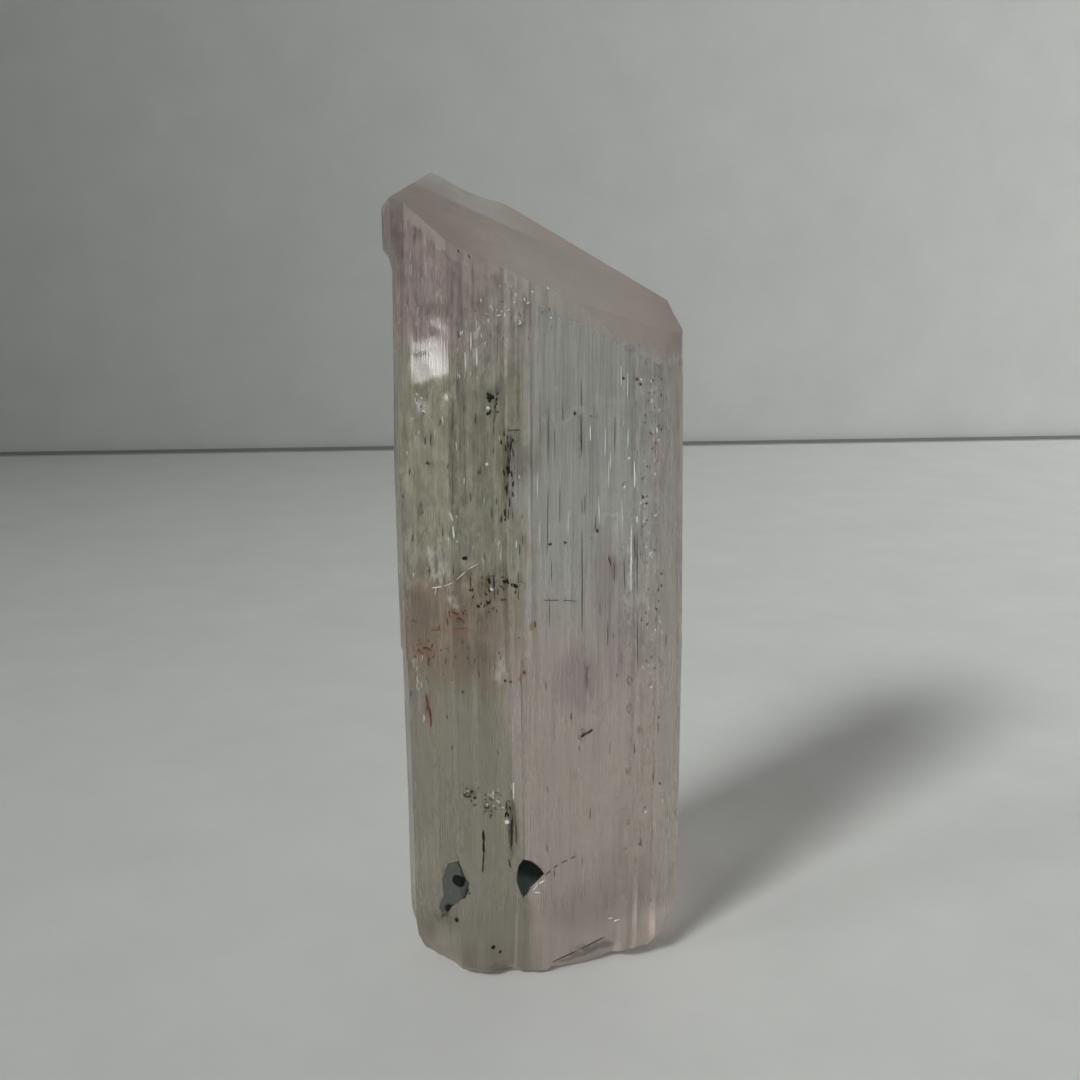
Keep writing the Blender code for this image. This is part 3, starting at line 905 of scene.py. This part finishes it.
class FleckMaker:
    """Lays one kind of fleck on the crystal.

    In the picture, a row is a stroke's two ends and width, a dot is a middle and a radius, and a sprinkle
    is a count, a box, and the width, length and lean of its strokes. A random set is a count, the heights,
    the half width and its stretch, and the turns from the front.
    """

    dots = ()

    def execute(self, context):
        crystal = bpy.data.objects["crystal_body"]
        draw = random.Random(context.scene.kunzite_sizes.seed + len(self.rows))
        rows = [*self.rows, *crumbled(draw, self.dots)]
        for sprinkle in self.sprinkles:
            rows += sprinkled(draw, *sprinkle)
        places = [stroke(crystal, *row) for row in rows]
        for count, heights, sizes, sides in self.random_sets:
            places += scattered(crystal, draw, count, heights, sizes, sides)
        name, roughness = self.finish
        shade = getattr(context.scene.kunzite_colours, name)
        lay_flecks(name + "s", places, fleck_stone(name, tuple(shade), roughness))
        return {"FINISHED"}


class KUNZITE_OT_black_flecks(FleckMaker, bpy.types.Operator):
    """Lay the black needle and the black specks on the crystal"""

    bl_idname = "kunzite.black_flecks"
    bl_label = "Black flecks"
    finish = ("dark_fleck", 0.35)
    slot_name = "black_grain"
    rows = (
        (483, 829, 483.5, 842, 3.0), (483.3, 840, 483.6, 854, 2.7), (483.5, 852, 483, 864, 1.8),
        (483, 862, 482.5, 873, 1.3), (505, 818, 506.5, 811, 2.2), (506.5, 811, 508.5, 817, 2.0),
        (463, 794, 466, 797, 1.9), (466, 797, 471, 796, 1.9), (571, 712, 571, 720, 1.2),
        (581, 737, 587, 732, 3.2), (586, 734, 593, 729, 2.6), (457, 917, 457, 922, 5),
        (447, 864, 449, 874, 1.6), (458, 862, 457, 873, 1.6), (449, 872, 444, 880, 1.5),
        (458, 869, 463, 874, 2.0), (463, 874, 466, 886, 2.2), (466, 886, 469, 894, 2.6),
        (468, 893, 463, 899, 2.6), (444, 913, 450, 909, 3.0), (508, 858, 511, 868, 1.6),
        (507, 464, 508, 474, 3.0), (511, 470, 512, 478, 2.0), (506, 484, 506, 492, 1.8),
        (510, 496, 509, 508, 1.5), (509, 508, 508, 520, 1.2), (512, 440, 510, 452, 1.8),
        (489, 577, 489, 584, 2.2), (494, 576, 494, 590, 1.8),
    )
    dots = (
        (493, 947, 2.2), (500, 951.5, 1.7), (472, 792, 2.2), (475, 797, 2.2), (660, 783, 1.4),
        (639, 844, 1.3), (463, 692, 1.6), (575, 413, 2.2), (491, 397, 5.0), (488, 414, 2.5),
        (465, 558, 3.2), (506, 581, 3.2), (515, 586, 2.6), (488, 602, 2.6), (478, 606, 2.4),
        (470, 590, 2.2), (550, 544, 1.8), (565, 542, 1.7), (508, 468, 3.6), (428, 463, 2.0),
    )
    sprinkles = (
        (10, (486, 384, 500, 412), 2.0, 4, 60), (16, (500, 430, 514, 520), 1.6, 8, 12),
        (10, (470, 572, 520, 612), 1.5, 5, 30), (18, (484, 790, 514, 818), 1.5, 4, 80),
        (10, (640, 375, 662, 520), 1.5, 3.5, 60), (14, (400, 400, 640, 720), 1.1, 3, 40),
        (6, (466, 786, 480, 806), 1.4, 3, 80),
    )
    random_sets = ((60, (3.0, 50.0), (0.055, 2.0), (75.0, 285.0)),)


class KUNZITE_OT_brown_flecks(FleckMaker, bpy.types.Operator):
    """Lay the brown ticks and the fine brown hairs on the crystal"""

    bl_idname = "kunzite.brown_flecks"
    bl_label = "Brown flecks"
    finish = ("brown_fleck", 0.5)
    slot_name = "black_grain"
    rows = (
        (453, 392, 452, 440, 0.8), (452, 446, 453, 520, 0.8), (457, 249, 459, 253, 1.4),
        (468, 254, 470, 259, 1.4), (548, 400, 548, 466, 0.6), (548, 480, 547, 560, 0.6),
        (581, 372, 581, 410, 0.8), (581, 410, 581, 458, 1.5), (511, 433, 509, 455, 2.0),
        (508, 452, 508, 480, 2.4), (509, 478, 506, 500, 1.8), (506, 500, 506, 522, 1.4),
        (505, 430, 523, 430, 1.5), (402, 494, 404, 498, 2), (541, 600, 560, 600, 1.0),
        (560, 600, 578, 601, 0.9), (597, 528, 597, 533, 3), (608, 555, 611, 566, 1.8),
        (550, 963, 578, 950, 1.3), (578, 950, 606, 936, 1.1), (637, 525, 637, 600, 0.9),
        (637, 600, 638, 675, 0.8), (587, 662, 587, 690, 0.9), (623, 376, 623, 380, 3),
        (637, 377, 637, 381, 3), (640, 382, 640, 386, 3), (505, 679, 505, 682, 3), (511, 680, 511, 683, 3),
        (582, 520, 582, 640, 1.1), (545, 875, 551, 870, 1.3), (553, 868, 558, 864.5, 1.3),
        (561, 863, 568, 859.5, 1.3), (570, 858.5, 576, 856, 1.3), (506, 800, 507, 812, 2.2),
        (512, 812, 511, 850, 2.6), (516, 822, 516, 846, 1.6),
    )
    sprinkles = (
        (34, (408, 395, 530, 600), 1.1, 12, 5), (14, (536, 370, 636, 660), 0.6, 34, 2),
        (34, (640, 372, 663, 720), 1.4, 4, 35), (14, (410, 600, 520, 760), 1.1, 7, 10),
        (12, (540, 660, 660, 930), 0.9, 12, 4), (16, (455, 300, 560, 340), 1.2, 5, 25),
        (14, (478, 575, 510, 612), 1.8, 4, 70), (12, (412, 620, 470, 660), 1.2, 4, 50),
    )
    random_sets = ((150, (5.0, 49.0), (0.04, 24.0), (75.0, 285.0)),)


class KUNZITE_OT_rust_flecks(FleckMaker, bpy.types.Operator):
    """Lay the red flakes on the left of the front"""

    bl_idname = "kunzite.rust_flecks"
    bl_label = "Rust flecks"
    finish = ("rust_fleck", 0.6)
    slot_name = "black_grain"
    rows = (
        (426, 693, 428, 706, 2.2), (429, 705, 431, 718, 2.2), (431, 716, 431, 728, 1.4),
        (430, 630, 442, 629.5, 0.9), (445, 629, 470, 628, 0.8), (535, 620, 535, 628, 1.5),
        (524, 670, 524, 674, 2.0), (450, 611, 458, 614, 1.4), (456, 618, 463, 620, 1.4),
        (428, 698, 427, 712, 1.4),
    )
    sprinkles = ((12, (446, 608, 468, 624), 1.0, 4, 85), (14, (414, 640, 434, 658), 1.1, 5, 40))
    random_sets = ((12, (22.0, 34.0), (0.06, 2.0), (120.0, 240.0)),)


class KUNZITE_OT_pale_flecks(FleckMaker, bpy.types.Operator):
    """Lay the white ticks and crack edges on the crystal, and the sparks, which are painted highlights"""

    bl_idname = "kunzite.pale_flecks"
    bl_label = "Pale flecks"
    finish = ("pale_fleck", 0.3)
    slot_name = "kunzite"
    # Among these strokes, the sparks at 416 to 425 and 450 to 454 across and the wide stroke at 507, 820 in
    # the groove are painted highlights; the rest are white ticks and crack edges
    rows = (
        (487, 462, 487, 466, 3.6), (488, 406, 488, 410, 4), (507, 819.5, 507, 824, 5.2),
        (662, 798, 662, 803, 2), (608, 918, 613, 918, 0.8), (613, 921, 620, 919, 0.8),
        (631, 520, 631, 600, 1.3), (637, 515, 637, 524, 2), (652, 398, 652, 403, 2),
        (657, 427, 657, 433, 2), (431, 588, 443, 586.5, 1.3), (443, 586.5, 455, 582, 1.0),
        (455, 581, 466, 571, 0.6), (466, 570, 480, 563, 0.5), (532, 892, 538, 884, 1.0),
        (538, 884, 545, 880, 1.0), (463, 794, 466, 790.5, 0.8), (466, 790.5, 470, 791, 0.8),
        (450, 512, 453, 522, 1.6), (453, 524, 454, 540, 1.6), (514, 781, 514, 800, 1.5),
        (416, 402, 418, 404, 1.2), (422, 410, 425, 412, 1.2), (421, 397, 423, 399, 1.0),
        (488, 794, 494, 798, 1.2), (495, 799, 500, 803, 1.2), (500, 806, 505, 808, 1.2),
        (465, 350, 466, 372, 1.6), (471, 330, 471, 352, 1.4), (477, 345, 477, 368, 1.3),
        (533, 892, 541, 893, 0.9),
    )
    # The sprinkle in the box from 408, 394 is painted sparks
    sprinkles = (
        (26, (480, 285, 556, 326), 1.2, 5, 80), (16, (406, 250, 446, 322), 0.5, 13, 6),
        (18, (456, 322, 486, 378), 0.6, 8, 6), (10, (408, 394, 430, 420), 0.8, 3, 80),
        (30, (640, 375, 663, 720), 1.2, 4, 30), (22, (410, 420, 520, 600), 0.9, 9, 6),
        (14, (536, 370, 636, 560), 0.6, 30, 2), (10, (412, 640, 425, 730), 0.9, 8, 6),
        (8, (448, 505, 458, 545), 1.1, 4, 20), (8, (484, 790, 512, 812), 1.0, 4, 80),
    )
    random_sets = ((110, (4.0, 50.0), (0.035, 14.0), (75.0, 285.0)),)


# The pale floor ends a quarter of a metre behind the crystal, and the wall stands behind a narrow gap there
FLOOR_BACK = 0.2477
FLOOR_SIZE = (3.0, 2.0)
FLOOR_Z = -0.05 * MM
FLOOR_TINT = (0.645, 0.655, 0.635)
WALL_SIZE = (3.0, 1.4)
WALL_MIDDLE = 0.6
WALL_GAP = 0.003
WALL_TINT = (0.61, 0.62, 0.60)
# A dark grey strip at the foot of the wall is painted shadow in the gap behind the floor
SHADOW_STRIP_SIZE = (3.0, 0.9 * MM)
SHADOW_STRIP_TINT = (0.24, 0.24, 0.23)
SEAM_TURN = math.radians(5.6)
# The two soft lights: where each stands, where it points, and its width and height
KEY_LIGHT = ((-0.5, -1.1, 1.25), (0.65, 0.25, 0.0), (0.9, 0.9))
SIDE_LIGHT = ((-0.85, -0.85, 1.25), (1.1, 0.0, 0.0), (1.3, 0.8))
# The panes of the glint: their distance from it, the middle, width and height of each in the picture, how
# far their edges rise to the right there, and the area that the window's strength is for
PANE_DISTANCE = 0.15
PANES = ((420.0, 372.5, 31.0, 24.0), (445.5, 358.0, 18.0, 32.0), (422.0, 333.5, 26.0, 9.0))
PANE_LEAN = math.radians(24.0)
PANE_AREA = 1000.0
PANE_EXTENT = ((GLINT_PLACE - EYE).length + PANE_DISTANCE) / FOCAL_PIXELS


def mirrored(direction):
    """A direction as the facet with the glint reflects it."""
    return direction - GLINT_NORMAL * (2 * direction.dot(GLINT_NORMAL))


class KUNZITE_OT_stage(bpy.types.Operator):
    """Set the pale floor and backdrop, the soft lights and the camera"""

    bl_idname = "kunzite.stage"
    bl_label = "Stage"

    def execute(self, context):
        stage = context.scene.kunzite_stage
        self.surfaces()
        self.lights(context, stage)
        self.camera(context, stage)
        return {"FINISHED"}

    def surfaces(self):
        floor = self.sheet("floor", FLOOR_SIZE, (0.0, FLOOR_BACK - FLOOR_SIZE[1] / 2, FLOOR_Z))
        wall = self.sheet("wall", WALL_SIZE, (0.0, FLOOR_BACK + WALL_GAP, WALL_MIDDLE))
        # The dark strip at the wall's foot is painted shadow
        joint = self.sheet("joint", SHADOW_STRIP_SIZE, (0.0, FLOOR_BACK + WALL_GAP / 2, SHADOW_STRIP_SIZE[1] / 2))
        for upright in (wall, joint):
            pick(upright)
            angle = math.radians(90.0)
            bpy.ops.transform.rotate(value=angle, orient_axis="X", center_override=upright.location)
            bpy.ops.object.transform_apply()
        pick(floor, wall, joint)
        hinge = (0.0, FLOOR_BACK, 0.0)
        bpy.ops.transform.rotate(value=-SEAM_TURN, orient_axis="Z", center_override=hinge)
        bpy.ops.object.transform_apply()
        floor.data.materials.append(self.paint("pale_floor", FLOOR_TINT))
        wall.data.materials.append(self.paint("pale_wall", WALL_TINT))
        joint.data.materials.append(self.paint("grey_joint", SHADOW_STRIP_TINT))

    @staticmethod
    def sheet(name, size, middle):
        bpy.ops.mesh.primitive_plane_add(size=1.0, location=middle)
        obj = bpy.context.object
        obj.name = name
        obj.scale = (*size, 1.0)
        bpy.ops.object.transform_apply(location=False, rotation=False, scale=True)
        return obj

    @staticmethod
    def paint(name, shade):
        """A dull paint with a faint wide mottle."""
        recipe = Recipe(name)
        mottle = recipe.noise((0.07, 0.07, 0.07), 3.0, 0.65)
        tone = recipe.mix(shade, [value * 0.86 for value in shade], mottle)
        values = {"Base Color": tone, "Roughness": 0.85}
        return recipe.finish(recipe.add("ShaderNodeBsdfPrincipled", values=values))

    @staticmethod
    def lamp(name, place, target, size, watts):
        """A rectangle of light that looks from one place at another."""
        bpy.ops.object.light_add(type="AREA", location=place)
        lamp = bpy.context.object
        lamp.name = name
        lamp.data.shape = "RECTANGLE"
        lamp.data.size, lamp.data.size_y = size
        lamp.data.energy = watts
        lamp.rotation_euler = (Vector(target) - Vector(place)).to_track_quat("-Z", "Y").to_euler()
        return lamp

    def lights(self, context, stage):
        key = self.lamp("key_light", *KEY_LIGHT, stage.key_watts)
        side = self.lamp("side_light", *SIDE_LIGHT, stage.side_watts)
        key.data.spread = side.data.spread = math.radians(20.0)
        upright = Matrix.Rotation(CAMERA_TILT, 3, "X") @ Matrix.Rotation(PANE_LEAN, 3, "Z")
        right, up, back = upright.col
        seen_in_facet = Matrix((mirrored(right), mirrored(up), -mirrored(back))).transposed().to_euler()
        for index, (u, v, width, height) in enumerate(PANES):
            place = GLINT_PLACE + mirrored(sight_line(u, v)) * PANE_DISTANCE
            size = (width * PANE_EXTENT, height * PANE_EXTENT)
            watts = stage.window_watts * width * height / PANE_AREA
            pane = self.lamp(f"window_pane_{index + 1}", place, GLINT_PLACE, size, watts)
            pane.rotation_euler = seen_in_facet
        world = bpy.data.worlds.new("room")
        context.scene.world = world
        world.use_nodes = True
        background = world.node_tree.nodes["Background"]
        background.inputs["Color"].default_value = (0.95, 1.0, 0.98, 1.0)
        background.inputs["Strength"].default_value = stage.room_light

    def camera(self, context, stage):
        bpy.ops.object.camera_add(location=EYE)
        camera = bpy.context.object
        camera.rotation_euler = (CAMERA_TILT, 0.0, 0.0)
        camera.data.sensor_width = SENSOR
        camera.data.lens = stage.lens
        camera.data.clip_start = 0.001
        context.scene.camera = camera
        context.scene.view_settings.view_transform = "Standard"


class KUNZITE_PT_panel(bpy.types.Panel):
    """Lists the crystal's pieces in the order they are made"""

    bl_idname = "KUNZITE_PT_panel"
    bl_label = "Kunzite crystal"
    bl_space_type = "VIEW_3D"
    bl_region_type = "UI"
    bl_category = "Kunzite"

    def draw(self, context):
        for step in OPERATORS:
            self.layout.operator(step.bl_idname)
        for group in SETTINGS:
            settings = getattr(context.scene, group)
            box = self.layout.box()
            for name in settings.__annotations__:
                box.prop(settings, name)


FLECK_OPERATORS = (
    KUNZITE_OT_black_flecks, KUNZITE_OT_brown_flecks, KUNZITE_OT_rust_flecks, KUNZITE_OT_pale_flecks,
)
OPERATORS = (KUNZITE_OT_crystal, KUNZITE_OT_grains, *FLECK_OPERATORS, KUNZITE_OT_stage)
SETTINGS = {"kunzite_sizes": KunziteSizes, "kunzite_colours": KunziteColours, "kunzite_stage": KunziteStage}
CLASSES = (*SETTINGS.values(), *OPERATORS, KUNZITE_PT_panel)


def register():
    for cls in CLASSES:
        bpy.utils.register_class(cls)
    for name, settings in SETTINGS.items():
        setattr(bpy.types.Scene, name, PointerProperty(type=settings))


def unregister():
    for name in SETTINGS:
        delattr(bpy.types.Scene, name)
    for cls in reversed(CLASSES):
        bpy.utils.unregister_class(cls)


def main():
    register()
    bpy.ops.kunzite.crystal()
    bpy.ops.kunzite.grains()
    bpy.ops.kunzite.black_flecks()
    bpy.ops.kunzite.brown_flecks()
    bpy.ops.kunzite.rust_flecks()
    bpy.ops.kunzite.pale_flecks()
    bpy.ops.kunzite.stage()


if __name__ == "__main__":
    main()
